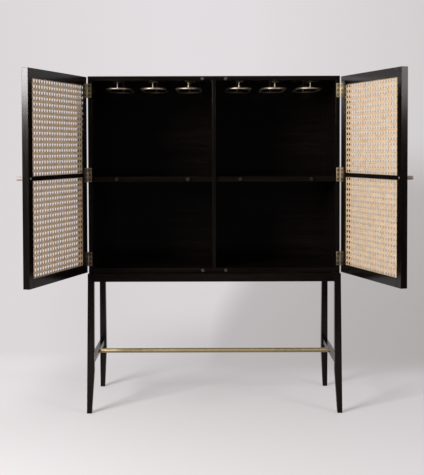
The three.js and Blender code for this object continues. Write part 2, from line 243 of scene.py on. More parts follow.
def noise(tree, vector, scale, detail=4, roughness=0.55):
    """Noise from 0 to 1 at a vector."""
    node = add_node(tree, "ShaderNodeTexNoise")
    node.inputs["Scale"].default_value = scale
    node.inputs["Detail"].default_value = detail
    node.inputs["Roughness"].default_value = roughness
    tree.links.new(vector, node.inputs["Vector"])
    return node.outputs["Fac"]


def mapped(tree, scale=(1, 1, 1), rotation=(0, 0, 0)):
    """Object coordinates, turned and then stretched."""
    coordinates = add_node(tree, "ShaderNodeTexCoord")
    turn = add_node(tree, "ShaderNodeMapping")
    turn.inputs["Rotation"].default_value = rotation
    stretch = add_node(tree, "ShaderNodeMapping")
    stretch.inputs["Scale"].default_value = scale
    tree.links.new(coordinates.outputs["Object"], turn.inputs["Vector"])
    tree.links.new(turn.outputs["Vector"], stretch.inputs["Vector"])
    return stretch.outputs["Vector"]


def bump(tree, height, strength, distance, shader):
    """Relief of a shader's surface by height."""
    node = add_node(tree, "ShaderNodeBump")
    node.inputs["Strength"].default_value = strength
    node.inputs["Distance"].default_value = distance
    tree.links.new(height, node.inputs["Height"])
    tree.links.new(node.outputs["Normal"], shader.inputs["Normal"])


def feed(tree, value, socket):
    """Gives an input a number, a colour or another node's output."""
    if isinstance(value, bpy.types.NodeSocket):
        tree.links.new(value, socket)
    else:
        socket.default_value = (*value, 1) if isinstance(value, tuple) else value


def math_node(tree, operation, *values):
    """The result of an operation on outputs and numbers."""
    node = add_node(tree, "ShaderNodeMath", operation=operation)
    for value, socket in zip(values, node.inputs):
        feed(tree, value, socket)
    return node.outputs["Value"]


def spread(tree, source, low, high):
    """source from 0 to 1 spread from low to high."""
    node = add_node(tree, "ShaderNodeMapRange")
    node.inputs["To Min"].default_value = low
    node.inputs["To Max"].default_value = high
    tree.links.new(source, node.inputs["Value"])
    return node.outputs["Result"]


WOOD_ALONG = 3.0
WOOD_ACROSS = 60.0
WOOD_GRAIN = 6.0
WOOD_FIGURE = 0.9
WOOD_STOPS = [(0.12, (0.0018, 0.0012, 0.0010)), (0.42, (0.0095, 0.0064, 0.0048))]
WOOD_ROUGHNESS = (0.11, 0.20)
WOOD_SPECULAR = 0.36
WOOD_RELIEF = (0.25, 0.15 * MM)

METAL_LINES = 900.0
METAL_CLOUD = 60.0
METAL_DULL_SHARE = 0.82
METAL_CLOUD_STOPS = (0.3, 0.7)
METAL_ROUGHNESS = (-0.06, 0.10)
METAL_RELIEF = (0.08, 0.05 * MM)

CANE_FIBRES = 1400.0
CANE_PATCHES = 45.0
CANE_PATCH_SHARE = 0.65
CANE_ROUGHNESS = (0.38, 0.62)
CANE_SPECULAR = 0.45
CANE_RELIEF = (0.3, 0.1 * MM)


def black_wood(name, along, rotation=(0, 0, 0)):
    """Black-stained open-grain timber, its grain along one axis."""
    material, tree, shader = new_material(name)
    stretch = [WOOD_ACROSS] * 3
    stretch["XYZ".index(along)] = WOOD_ALONG
    vector = mapped(tree, stretch, rotation)
    grain = noise(tree, vector, WOOD_GRAIN, detail=6, roughness=0.65)
    figure = noise(tree, vector, WOOD_FIGURE, detail=3)
    colour = ramp(tree, math_node(tree, "MULTIPLY", grain, figure), WOOD_STOPS)
    tree.links.new(colour, shader.inputs["Base Color"])
    tree.links.new(spread(tree, grain, *WOOD_ROUGHNESS), shader.inputs["Roughness"])
    shader.inputs["Specular IOR Level"].default_value = WOOD_SPECULAR
    bump(tree, grain, *WOOD_RELIEF, shader)
    return material


def metal(name, colour, rough, brushed=(1, 1, 1)):
    """Satin metal with fine brush lines and slightly uneven polish."""
    material, tree, shader = new_material(name)
    shader.inputs["Metallic"].default_value = 1.0
    lines = noise(tree, mapped(tree, brushed), METAL_LINES, detail=2)
    cloud = noise(tree, mapped(tree), METAL_CLOUD, detail=3)
    dull = tuple(METAL_DULL_SHARE * channel for channel in colour)
    stops = list(zip(METAL_CLOUD_STOPS, (dull, colour)))
    tree.links.new(ramp(tree, cloud, stops), shader.inputs["Base Color"])
    smoothest, roughest = (rough + change for change in METAL_ROUGHNESS)
    tree.links.new(spread(tree, lines, smoothest, roughest), shader.inputs["Roughness"])
    bump(tree, lines, *METAL_RELIEF, shader)
    return material


def natural_cane(name, stops):
    """Split cane: fine fibres, darker and paler patches by the stops, a soft gloss."""
    material, tree, shader = new_material(name)
    fibres = noise(tree, mapped(tree), CANE_FIBRES, detail=3)
    patches = noise(tree, mapped(tree), CANE_PATCHES, detail=4, roughness=0.7)
    both = add_node(tree, "ShaderNodeMix", data_type="FLOAT")
    both.inputs["Factor"].default_value = CANE_PATCH_SHARE
    tree.links.new(fibres, both.inputs[2])
    tree.links.new(patches, both.inputs[3])
    tree.links.new(ramp(tree, both.outputs[0], stops), shader.inputs["Base Color"])
    tree.links.new(spread(tree, fibres, *CANE_ROUGHNESS), shader.inputs["Roughness"])
    shader.inputs["Specular IOR Level"].default_value = CANE_SPECULAR
    bump(tree, fibres, *CANE_RELIEF, shader)
    return material


def rail_wood(side):
    """The wood of an open door's rails, whose grain turns with the door."""
    turn = SIDES[side] * math.radians(JOINTS[f"{side}_door"]["range_deg"][0])
    return black_wood(f"black_wood_{side}_door_rail", "X", (0, 0, turn))


WOODS = {axis: black_wood(f"black_wood_{axis.lower()}", axis) for axis in "XYZ"}
RAIL_WOODS = {side: rail_wood(side) for side in SIDES}
LOOP_BRASS = metal("pale_loop_brass", (0.86, 0.76, 0.60), 0.42)
# Flange brass: a much darker brass for the flanges under the top, painted shade
FLANGE_BRASS_PAINTED_SHADE = metal("flange_brass_painted_shade", (0.30, 0.23, 0.15), 0.42)
RAIL_BRASS = metal("brushed_rail_brass", (0.81, 0.665, 0.375), 0.46, (0.06, 1, 1))
# Hinge brass by height: the hinges are all one brass, painted lighter at the upper ones and darker at the
# lower ones as painted light and shade
HINGE_BRASS_PAINTED_SHADE = {
    "upper": metal("hinge_brass_painted_lit", (0.74, 0.63, 0.425), 0.48),
    "middle": metal("hinge_brass_painted_half_shade", (0.58, 0.47, 0.33), 0.48),
    "lower": metal("hinge_brass_painted_full_shade", (0.34, 0.28, 0.20), 0.48),
}
KNOB_BRASS = metal("soft_knob_brass", (0.74, 0.66, 0.615), 0.80)
# Hinge screw heads nearly black: dark metal, together with painted shade of their recesses and countersinks
SCREW_DARK_BRASS_AND_PAINTED_SHADE = metal("dark_screw_brass_and_painted_shade", (0.014, 0.010, 0.007), 0.55)
NICKEL = metal("nickel", (0.55, 0.54, 0.53), 0.42)
STEEL = metal("dull_steel", (0.16, 0.157, 0.154), 0.42)
DARK_METAL = metal("dark_metal", (0.09, 0.085, 0.08), 0.36)
CANE_STOPS = [(0.30, (0.55, 0.365, 0.205)), (0.48, (0.855, 0.62, 0.40)), (0.70, (0.99, 0.775, 0.55))]
# The strands' sides: the cane painted far darker, as painted shade between the strands, though cane is one
# colour all round
CANE_SIDE_PAINTED_SHADE_STOPS = [(0.30, (0.06, 0.034, 0.018)), (0.70, (0.15, 0.09, 0.048))]
CANE = natural_cane("natural_cane", CANE_STOPS)
CANE_SIDE_PAINTED_SHADE = natural_cane("cane_side_painted_shade", CANE_SIDE_PAINTED_SHADE_STOPS)


# Frame pieces that stay: bevelled edges and wood

PANEL_EDGE = 0.9 * MM
LEG_EDGE = 1.3 * MM
EDGE_ANGLE = math.radians(35)
WELD_DISTANCE = 0.01 * MM
GRAIN = {
    "X": (
        "top_panel", "bottom_panel", "back_panel", "apron_front", "apron_rear", "shelf_left", "shelf_right",
    ),
    "Y": ("apron_left", "apron_right", "side_stretcher_left", "side_stretcher_right"),
    "Z": (
        "side_panel_left", "side_panel_right", "centre_divider",
        "leg_front_left", "leg_front_right", "leg_rear_left", "leg_rear_right",
        "left_door_hinge_stile", "left_door_free_stile", "right_door_hinge_stile", "right_door_free_stile",
    ),
}


def dress_wood(node, material):
    """Gives a piece of the frame its wood and rounds its edges."""
    piece = frame["nodes"][node]
    piece.data.materials.clear()
    piece.data.materials.append(material)
    weld = piece.modifiers.new("weld", "WELD")
    weld.merge_threshold = WELD_DISTANCE
    edge = piece.modifiers.new("edge", "BEVEL")
    edge.width = LEG_EDGE if node.startswith("leg") else PANEL_EDGE
    edge.segments = BEVEL_SEGMENTS
    edge.limit_method = "ANGLE"
    edge.angle_limit = EDGE_ANGLE
    edge.harden_normals = True


for axis, nodes in GRAIN.items():
    for node in nodes:
        dress_wood(node, WOODS[axis])
for side in SIDES:
    for rail in ("bottom", "middle", "top"):
        dress_wood(f"{side}_door_{rail}_rail", RAIL_WOODS[side])


# Cane panels

def ribbon(points, across, bm):
    """A closed flat strand through points, its rounded skin towards -Y and its width along across; its sides
    and eased edges carry painted shade.
    """
    half = CANE_STRAND_WIDTH / 2
    top = half - CANE_STRAND_EDGE
    depth = CANE_STRAND_THICKNESS / 2
    section = [(-half, depth), (half, depth), (half, 0), (top, -depth), (-top, -depth), (-half, 0)]
    rings = []
    for point in points:
        rings.append([bm.verts.new(point + across * x + Vector((0, y, 0))) for x, y in section])
    count = len(section)
    for low, high in zip(rings, rings[1:]):
        for index in range(count):
            after = (index + 1) % count
            side = bm.faces.new((low[index], high[index], high[after], low[after]))
            side.material_index = int(index in CANE_PAINTED_SHADE_SIDES)
    bm.faces.new(rings[0])
    bm.faces.new(tuple(reversed(rings[-1])))


def lattice(size):
    """Centre lines of strand pairs across a size, kept symmetrical in it."""
    count = math.ceil(size / CANE_PITCH)
    start = (size - count * CANE_PITCH) / 2
    return [start + index * CANE_PITCH for index in range(count + 1)]


def crossings(lines):
    """Places where crossing strands lie, with the mid places between them, as (place, number or None)."""
    places = []
    for index, line in enumerate(lines):
        if index:
            places.append((line - CANE_PITCH / 2, None))
        places.append((line - CANE_PAIR_HALF, 2 * index))
        places.append((line, None))
        places.append((line + CANE_PAIR_HALF, 2 * index + 1))
    return places


def cane_piece(name, side, low, high):
    """Pairs of upright and level strands woven over and under, with single diagonals between the pairs."""
    width = DOOR_WIDTH - 2 * STILE_WIDTH
    height = high - low
    inward = -SIDES[side]
    columns, rows = lattice(width), lattice(height)
    bm = bmesh.new()

    def inside(place, size):
        return -CANE_TUCK <= place <= size + CANE_TUCK

    def trimmed(places, size):
        kept = [(place, number) for place, number in places if inside(place, size)]
        return [(-CANE_TUCK, None), *kept, (size + CANE_TUCK, None)]

    uprights, levels = (columns, rows, height, width, 1), (rows, columns, width, height, -1)
    for lines, crossed, size, other, sign in (uprights, levels):
        pairs = [line + half for line in lines for half in (-CANE_PAIR_HALF, CANE_PAIR_HALF)]
        for number, place in enumerate(pairs):
            if not inside(place, other):
                continue
            points = []
            for along, crossing in trimmed(crossings(crossed), size):
                rise = 0 if crossing is None else sign * CANE_WEAVE_RISE * (-1) ** (number + crossing)
                points.append((place, rise, along) if sign > 0 else (along, rise, place))
            ribbon([Vector(p) for p in points], Vector((1, 0, 0) if sign > 0 else (0, 0, 1)), bm)

    # Diagonals pass midway between the pairs' crossings. Those of one slope go over the level pairs
    # and under the upright ones, and those of the other slope the other way round
    half = CANE_PITCH / 2
    for slope in (1, -1):
        across = Vector((1, 0, -slope)).normalized()
        reach = len(columns) + len(rows) + 1
        for index in range(-reach, reach):
            offset = rows[0] + (index + 0.5) * CANE_PITCH
            points = []
            for step in range(2 * len(columns) + 1):
                middle_x = columns[0] + (step - 1) * half
                for x in (middle_x - CANE_PAIR_HALF, middle_x + CANE_PAIR_HALF):
                    z = offset + slope * (x - columns[0])
                    level = step % 2 == 0
                    rise = slope * CANE_DIAGONAL_RISE * (1 if level else -1)
                    points.append(Vector((x, -rise, z)))
            kept = [p for p in points if inside(p.x, width) and inside(p.z, height)]
            if len(kept) > 1:
                ribbon(kept, across, bm)

    place = DOORS[side] @ Matrix.Translation((0, -HALF_GAP - CANE_CENTRE, low))
    flip = Matrix.Diagonal((inward, 1, 1, 1)) @ Matrix.Translation((PIN_OFFSET + STILE_WIDTH, 0, 0))
    bm.transform(place @ flip)
    piece = finish_piece(
        f"{side}_door_cane_{name}_weave", bm, f"{side}_door", CANE, (f"{side}_door_cane_{name}",)
    )
    # The strands' sides take the second material, painted shade
    piece.data.materials.append(CANE_SIDE_PAINTED_SHADE)


CANE_SPANS = {
    "lower": (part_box("left_door_bottom_rail")[1].z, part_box("left_door_middle_rail")[0].z),
    "upper": (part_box("left_door_middle_rail")[1].z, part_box("left_door_top_rail")[0].z),
}
for side in SIDES:
    for name, (low, high) in CANE_SPANS.items():
        cane_piece(name, side, low, high)


# Hinges

def arc(radius, start, end, steps):
    """Points of an arc from one angle to another."""
    angles = [start + (end - start) * step / steps for step in range(steps + 1)]
    return [(radius * math.cos(angle), radius * math.sin(angle)) for angle in angles]


HEAD_DEPTH_SHARE = 0.22
HEAD_SLOT_SHARE = 0.11
HEAD_RIM_SHARE = 0.68
HEAD_FACE_SHARE = 0.94
HEAD_CHAMFER_SHARE = 0.3
HEAD_ARC_STEPS = 5


def add_screw_head(bm, radius, place):
    """A flat cross-recessed head whose face looks along +Z: a rim and four quarters round the cross."""
    depth, slot, rim = HEAD_DEPTH_SHARE * radius, HEAD_SLOT_SHARE * radius, HEAD_RIM_SHARE * radius
    profile = [
        (0, -2 * depth), (rim, -2 * depth), (radius, -HEAD_CHAMFER_SHARE * depth),
        (HEAD_FACE_SHARE * radius, 0), (rim, 0), (rim, -depth), (0, -depth),
    ]
    add_lathe(bm, profile, (0, 0, 1), place, SMALL_SIDES)
    low = math.asin(slot / rim)
    outline = [(slot, slot), *arc(rim, low, math.pi / 2 - low, HEAD_ARC_STEPS)]
    for quarter in range(4):
        turn = Matrix.Rotation(quarter * math.pi / 2, 4, "Z")
        add_prism(bm, outline, -depth, 0, place @ turn)


LEAF_SCREW_RADIUS = 4.6 * MM
LEAF_SCREW_PROUD = 0.12 * MM
LEAF_EDGE = 0.35 * MM


def looking(direction):
    """Turns +Z to a direction."""
    return Vector((0, 0, 1)).rotation_difference(Vector(direction)).to_matrix().to_4x4()


def add_leaf(bm, screws, inward, into, spans, place):
    """A hinge leaf about the pin: plate, tabs to its knuckles, knuckles and countersunk screws."""
    face = into * HALF_GAP
    back = face + into * LEAF_THICKNESS
    free_edge = inward * (PIN_OFFSET + LEAF_WIDTH)
    add_box(bm, (inward * PIN_OFFSET, face, -HINGE_HALF), (free_edge, back, HINGE_HALF), place, LEAF_EDGE)
    for low, high in spans:
        add_box(bm, (inward * LEAF_ROOT, face, low), (inward * (PIN_OFFSET + LEAF_EDGE), back, high), place)
        knuckle = [
            (0, low), (KNUCKLE_RADIUS - LEAF_EDGE, low), (KNUCKLE_RADIUS, low + LEAF_EDGE),
            (KNUCKLE_RADIUS, high - LEAF_EDGE), (KNUCKLE_RADIUS - LEAF_EDGE, high), (0, high),
        ]
        add_lathe(bm, knuckle, (0, 0, 1), place, ROUND_SIDES)
    screw_x, screw_y = inward * (PIN_OFFSET + LEAF_WIDTH / 2), face - into * LEAF_SCREW_PROUD
    for index in (-1, 0, 1):
        spot = Matrix.Translation((screw_x, screw_y, index * SCREW_SPACING))
        add_screw_head(screws, LEAF_SCREW_RADIUS, place @ spot @ looking((0, -into, 0)))


PIN_TIP_RADIUS = 1.9 * MM
PIN_TIP_HEIGHT = 1.2 * MM
PIN_TIP_SHARES = [(0, 0), (1, 0), (1, 0.5), (0.75, 0.85), (0, 1)]
THIRD = HINGE_HALF / 3
OUTER_SPANS = [(-HINGE_HALF, -THIRD - KNUCKLE_GAP), (THIRD + KNUCKLE_GAP, HINGE_HALF)]


def hinges():
    """Three butt hinges a door: the frame leaf with the pin's tips, the door leaf and their screws."""
    tip = [(across * PIN_TIP_RADIUS, along * PIN_TIP_HEIGHT) for across, along in PIN_TIP_SHARES]
    frame_screws = bmesh.new()
    for side, sign in SIDES.items():
        door_screws = bmesh.new()
        for name, z in HINGE_Z.items():
            leaf = bmesh.new()
            place = pin_place(side) @ Matrix.Translation((0, 0, z))
            add_leaf(leaf, frame_screws, -sign, 1, OUTER_SPANS, place)
            for end in (-1, 1):
                tip_place = place @ Matrix.Translation((0, 0, end * HINGE_HALF))
                add_lathe(leaf, tip, (0, 0, end), tip_place, SMALL_SIDES)
            finish_piece(
                f"{side}_hinge_{name}_frame_leaf", leaf, "cabinet", HINGE_BRASS_PAINTED_SHADE[name],
                (f"frame_hinge_leaf_{side}_{name}",),
            )
            leaf = bmesh.new()
            place = DOORS[side] @ Matrix.Translation((0, 0, z))
            add_leaf(leaf, door_screws, -sign, -1, [(-THIRD, THIRD)], place)
            finish_piece(
                f"{side}_hinge_{name}_door_leaf", leaf, f"{side}_door", HINGE_BRASS_PAINTED_SHADE[name],
                (f"{side}_door_hinge_leaf_{name}",),
            )
        finish_piece(f"{side}_door_hinge_screws", door_screws, f"{side}_door", SCREW_DARK_BRASS_AND_PAINTED_SHADE)
    finish_piece("frame_hinge_screws", frame_screws, "cabinet", SCREW_DARK_BRASS_AND_PAINTED_SHADE)


hinges()


# Stemware loops, brass rail and knobs

LOOP_WIDTH = 105 * MM
LOOP_ROD = 4 * MM
LOOP_FRONT = 56 * MM
LOOP_LENGTH = 310 * MM
LOOP_DROP = 27 * MM
LOOP_POST = 2.4 * MM
FLANGE_RADIUS = 19 * MM
FLANGE_THICKNESS = 3 * MM
FLANGE_FILLET = 1 * MM
FLANGE_ROUND = 2 * MM
LOOP_STEPS = 28
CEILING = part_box("top_panel")[0].z


def stemware_loop(side, number):
    """A closed rod loop with round ends under the top, on two posts with round flanges."""
    low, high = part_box(f"stemware_rail_{side}_{number}")
    x, z = (low.x + high.x) / 2, CEILING - LOOP_DROP
    reach = LOOP_WIDTH / 2 - LOOP_ROD
    ends = (LOOP_FRONT + LOOP_WIDTH / 2, LOOP_FRONT + LOOP_LENGTH - LOOP_WIDTH / 2)
    centres, sideways = [], []
    for end, y in enumerate(ends):
        for step in range(LOOP_STEPS + 1):
            angle = math.pi * (1 + end + step / LOOP_STEPS)
            out = Vector((math.cos(angle), math.sin(angle), 0))
            centres.append(Vector((x, y, z)) + reach * out)
            sideways.append(out)
    bm = bmesh.new()
    add_tube(bm, centres, sideways, LOOP_ROD, CABINET, SMALL_SIDES)
    flange_z = CEILING - FLANGE_THICKNESS
    post = [
        (0, z), (LOOP_POST, z), (LOOP_POST, flange_z - FLANGE_FILLET), (LOOP_POST + FLANGE_FILLET, flange_z),
        (FLANGE_RADIUS - FLANGE_ROUND, flange_z), (FLANGE_RADIUS, flange_z + FLANGE_FILLET),
        (FLANGE_RADIUS, CEILING), (0, CEILING),
    ]
    for y in (LOOP_FRONT + LOOP_ROD, LOOP_FRONT + LOOP_LENGTH - LOOP_ROD):
        add_lathe(bm, post, (0, 0, 1), CABINET @ Matrix.Translation((x, y, 0)), ROUND_SIDES)
    # The flanges take the second material: brass darkened as painted shade under the top
    for face in bm.faces:
        face.material_index = int(face.calc_center_median().z > flange_z - SLACK)
    name, node = f"stemware_loop_{side}_{number}", f"stemware_rail_{side}_{number}"
    piece = finish_piece(name, bm, "cabinet", LOOP_BRASS, (node,))
    piece.data.materials.append(FLANGE_BRASS_PAINTED_SHADE)


for side in SIDES:
    for number in (1, 2, 3):
        stemware_loop(side, number)


def brass_rail():
    """The round rail between the side stretchers."""
    low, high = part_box("brass_rail")
    radius, half = (high.z - low.z) / 2, high.x
    middle = (low + high) / 2
    bm = bmesh.new()
    profile = [(0, -half), (radius, -half), (radius, half), (0, half)]
    add_lathe(bm, profile, (1, 0, 0), Matrix.Translation((0, middle.y, middle.z)), FINE_SIDES)
    finish_piece("brass_cross_rail", bm, "cabinet", RAIL_BRASS, ("brass_rail",))


brass_rail()

KNOB_RADIUS = 7 * MM
KNOB_LENGTH = 28 * MM
KNOB_EDGE = 1.0 * MM
KNOB_FOOT_EDGE = 0.4 * MM
KNOB_Z = (DOOR_LOW + DOOR_HIGH) / 2
KNOB_SCREW_RADIUS = 4.5 * MM
KNOB_SCREW_HEIGHT = 2 * MM
KNOB_SCREW_WALL_SHARE = 0.25


def knob(side):
    """A plain turned cylinder with eased edges, and its round-headed screw on the back of the stile."""
    x = -SIDES[side] * (PIN_OFFSET + DOOR_WIDTH - STILE_WIDTH / 2)
    place = DOORS[side] @ Matrix.Translation((x, -HALF_GAP, KNOB_Z))
    quarter = arc(1, 0, math.pi / 2, QUARTER_STEPS)

    face, end = DOOR_THICKNESS + TOUCH_GAP, DOOR_THICKNESS + KNOB_LENGTH
    rounded = [(KNOB_RADIUS - KNOB_EDGE * (1 - cos), end - KNOB_EDGE * (1 - sin)) for cos, sin in quarter]
    foot = [(0, face), (KNOB_RADIUS - KNOB_FOOT_EDGE, face), (KNOB_RADIUS, face + KNOB_FOOT_EDGE)]
    bm = bmesh.new()
    add_lathe(bm, [*foot, *rounded, (0, end)], (0, -1, 0), place, FINE_SIDES)
    finish_piece(f"{side}_knob", bm, f"{side}_door", KNOB_BRASS, (f"{side}_door_knob",))

    top, wall = KNOB_SCREW_HEIGHT, KNOB_SCREW_WALL_SHARE * KNOB_SCREW_HEIGHT
    dome = [(KNOB_SCREW_RADIUS * cos, wall + (top - wall) * sin) for cos, sin in quarter[:-1]]
    bm = bmesh.new()
    add_lathe(bm, [(0, 0), (KNOB_SCREW_RADIUS, 0), *dome, (0, top)], (0, 1, 0), place, SMALL_SIDES)
    finish_piece(f"{side}_knob_screw", bm, f"{side}_door", NICKEL, (f"{side}_door_knob_screw",))


for side in SIDES:
    knob(side)


# Catches, strikes, shelf pulls and rail screws

CATCH_PLACES = ("upper", "lower")
CATCH_RADIUS = 6.5 * MM
CATCH_CORE_SHARE = 0.72
CATCH_EDGE = 0.3 * MM
CATCH_RECESS = 0.35 * MM
STRIKE_RADIUS = 6.5 * MM
STRIKE_THICKNESS = 0.5 * MM
STRIKE_EDGE = 0.3 * MM
STRIKE_SUNK = 0.2 * MM
STRIKE_HOLE_SHARE = 0.35
STRIKE_HOLE_FOOT_SHARE = 0.2


def catch(side, place_name):
    """A round magnet catch in the front edge of the top or bottom: a cup with a core sunk in it."""
    node = f"catch_magnet_{side}_{place_name}"
    low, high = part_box(node)
    middle, depth = (low + high) / 2, high.y - low.y
    core = CATCH_CORE_SHARE * CATCH_RADIUS
    profile = [
        (0, -depth), (CATCH_RADIUS, -depth), (CATCH_RADIUS, -CATCH_EDGE), (CATCH_RADIUS - CATCH_EDGE, 0),
        (core, 0), (core, -CATCH_RECESS), (0, -CATCH_RECESS),
    ]
    bm = bmesh.new()
    add_lathe(bm, profile, (0, -1, 0), Matrix.Translation((middle.x, low.y, middle.z)), ROUND_SIDES)
    finish_piece(f"catch_{side}_{place_name}", bm, "cabinet", STEEL, (node,))


def strikes(side):
    """Round strike plates on the back of the free stile, opposite the catches, with a countersunk hole."""
    x = -SIDES[side] * (PIN_OFFSET + HALF_WIDTH - CATCH_INSET)
    profile = [
        (0, -STRIKE_SUNK), (STRIKE_RADIUS, -STRIKE_SUNK), (STRIKE_RADIUS, STRIKE_THICKNESS - STRIKE_SUNK),
        (STRIKE_RADIUS - STRIKE_EDGE, STRIKE_THICKNESS),
        (STRIKE_HOLE_SHARE * STRIKE_RADIUS, STRIKE_THICKNESS),
        (STRIKE_HOLE_FOOT_SHARE * STRIKE_RADIUS, STRIKE_SUNK), (0, STRIKE_SUNK),
    ]
    bm = bmesh.new()
    for name in CATCH_PLACES:
        z = sum(corner.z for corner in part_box(f"catch_magnet_{side}_{name}")) / 2
        add_lathe(bm, profile, (0, 1, 0), DOORS[side] @ Matrix.Translation((x, -HALF_GAP, z)), ROUND_SIDES)
    finish_piece(f"{side}_door_strikes", bm, f"{side}_door", STEEL)


for side in SIDES:
    for place_name in CATCH_PLACES:
        catch(side, place_name)
for side in SIDES:
    strikes(side)

PULL_X = (388 * MM, 104.5 * MM)
PULL_RADIUS = 8 * MM
PULL_NECK = 4 * MM
PULL_LENGTH = 11 * MM
PULL_HEAD = 4 * MM
PULL_FILLET = 2 * MM
PULL_EDGE = 1 * MM
PULL_DROP = 10 * MM


def shelf_pulls(side):
    """Small round studs on a shelf's front edge."""
    low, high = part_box(f"shelf_{side}")
    head = PULL_LENGTH - PULL_HEAD
    profile = [
        (0, 0), (PULL_NECK + PULL_FILLET, 0), (PULL_NECK, PULL_FILLET), (PULL_NECK, head),
        (PULL_RADIUS - PULL_EDGE, head), (PULL_RADIUS, head + PULL_EDGE),
        (PULL_RADIUS, PULL_LENGTH - PULL_EDGE), (PULL_RADIUS - PULL_EDGE, PULL_LENGTH), (0, PULL_LENGTH),
    ]
    bm = bmesh.new()
    for x in PULL_X:
        place = Matrix.Translation((SIDES[side] * x, low.y, high.z - PULL_DROP))
        add_lathe(bm, profile, (0, -1, 0), place, ROUND_SIDES)
    finish_piece(f"shelf_{side}_pulls", bm, "cabinet", DARK_METAL)


for side in SIDES:
    shelf_pulls(side)

RAIL_SCREW_RADIUS = 5 * MM
RAIL_SCREW_PROUD = 0.3 * MM


def rail_screws():
    """A screw head on the outer face of each side stretcher, in line with the brass rail."""
    bm = bmesh.new()
    low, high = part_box("brass_rail")
    middle = (low + high) / 2
    for side, sign in SIDES.items():
        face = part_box(f"side_stretcher_{side}")[1 if sign > 0 else 0].x
        place = Matrix.Translation((face + sign * RAIL_SCREW_PROUD, middle.y, middle.z))
        add_screw_head(bm, RAIL_SCREW_RADIUS, place @ looking((sign, 0, 0)))
    finish_piece("rail_screws", bm, "cabinet", RAIL_BRASS)


rail_screws()


# Stage: floor, backdrop by the world, lamps and camera

PHOTO_WIDTH, PHOTO_HEIGHT = 424, 475
SENSOR_WIDTH = 36
FOCAL_PIXELS = 983.73
AXIS_PIXEL_X = 207.5
AXIS_PIXEL_Y = 180.67
CAMERA_X = -26 * MM
CAMERA_DISTANCE = 3.9085
CAMERA_HEIGHT = 1.054
CAMERA_DOWN = math.radians(1.89)
CAMERA_ROLL = -0.0027
CAMERA_PLACE = (CAMERA_X, FRONT_Y - CAMERA_DISTANCE, CAMERA_HEIGHT)

# The backdrop's colours from left to right, by the X of a direction
SWEEP_HALF = 0.21
SWEEP = [
    (0.0, (0.715, 0.685, 0.70)), (0.4, (0.765, 0.735, 0.755)), (0.6, (0.755, 0.725, 0.745)),
    (1.0, (0.655, 0.63, 0.635)),
]

# Its shade on the right, low down and behind the feet: where each part starts and is full, and how strong
SHADE = (0.655, 0.645, 0.635)
SHADE_LEAN = 0.6
SHADE_RIGHT = (0.08, 0.14)
SHADE_DEPTHS = (((0.018, -0.055), 0.78), ((-0.03, -0.2), 0.22))
LOW_BAND_Z, LOW_BAND_X, LOW_BAND_SHARE = (-0.05, -0.15), (-0.2, -0.1), 0.27
CREEP_Z, CREEP_X, CREEP_SHARE = (-0.155, -0.215), (-0.14, 0.02), 0.60
SHADE_FOOT_Z = (-0.245, -0.215)
SHADE_AHEAD_Y = (0.3, 0.6)

# The floor: colours for lamps, camera and reflections, and where it fades into the backdrop
FLOOR_COLOUR = (0.735, 0.708, 0.72)
FLOOR_SEEN = (0.60, 0.579, 0.589)
FLOOR_MIRRORED = (0.31, 0.30, 0.305)
FLOOR_ROUGHNESS = 0.9
FLOOR_LIGHT = (1.0, 0.97, 0.985)
FLOOR_LIFT = 0.238
FLOOR_SIZE = 60.0
FLOOR_THICKNESS = 20 * MM
NEAR_FLOOR = (1.3, 2.6)
NEAR_FLOOR_Y = (0.5, 1.1)
FAR_FLOOR_Y = (0.0, 1.1)
FAR_FLOOR_FRONT = 0.06
FAR_FLOOR_BEHIND = 0.7
GLOW = 0.094
GLOW_BANDS = (("X", (-0.6, -0.9)), ("X", (-2.4, -1.2)), ("Y", (-0.3, 0.5)), ("Y", (1.25, 0.75)))

# The room
AMBIENT = 0.33
AMBIENT_COLOUR = (1.0, 0.985, 0.99)
DARK_ROOM = 0.03
MIRRORED_SWEEP = 0.65
ROOM_Y = (-0.35, 0.35)
LAMP_COLOUR = (1.0, 0.985, 0.97)
LAMP_TARGET = (0, 0, 1.0)


def eased(tree, source, start, end):
    """0 at start, 1 at end, with soft ends."""
    node = add_node(tree, "ShaderNodeMapRange", interpolation_type="SMOOTHSTEP")
    node.inputs["From Min"].default_value = min(start, end)
    node.inputs["From Max"].default_value = max(start, end)
    node.inputs["To Min"].default_value = float(start > end)
    node.inputs["To Max"].default_value = float(end > start)
    tree.links.new(source, node.inputs["Value"])
    return node.outputs["Result"]


def product(tree, first, *others):
    """All values multiplied."""
    for other in others:
        first = math_node(tree, "MULTIPLY", first, other)
    return first


def split(tree, vector):
    """The X, Y and Z of a vector, by name."""
    node = add_node(tree, "ShaderNodeSeparateXYZ")
    tree.links.new(vector, node.inputs["Vector"])
    return node.outputs


def mixed(tree, factor, first, second, blend="MIX"):
    """Two colours mixed by a factor."""
    node = add_node(tree, "ShaderNodeMix", data_type="RGBA", blend_type=blend)
    tree.links.new(factor, node.inputs["Factor"])
    feed(tree, first, node.inputs[6])
    feed(tree, second, node.inputs[7])
    return node.outputs[2]


def glowing(tree, kind, colour, strength):
    """A shader that gives light, for a surface or for the world."""
    node = add_node(tree, kind)
    feed(tree, colour, node.inputs["Color"])
    feed(tree, strength, node.inputs["Strength"])
    return node.outputs[0]


def shader_mix(tree, factor, first, second):
    """Two shaders mixed by a factor."""
    node = add_node(tree, "ShaderNodeMixShader")
    for value, socket in zip((factor, first, second), node.inputs):
        tree.links.new(value, socket)
    return node.outputs["Shader"]


def shader_sum(tree, first, second):
    """Two shaders added."""
    node = add_node(tree, "ShaderNodeAddShader")
    for value, socket in zip((first, second), node.inputs):
        tree.links.new(value, socket)
    return node.outputs["Shader"]


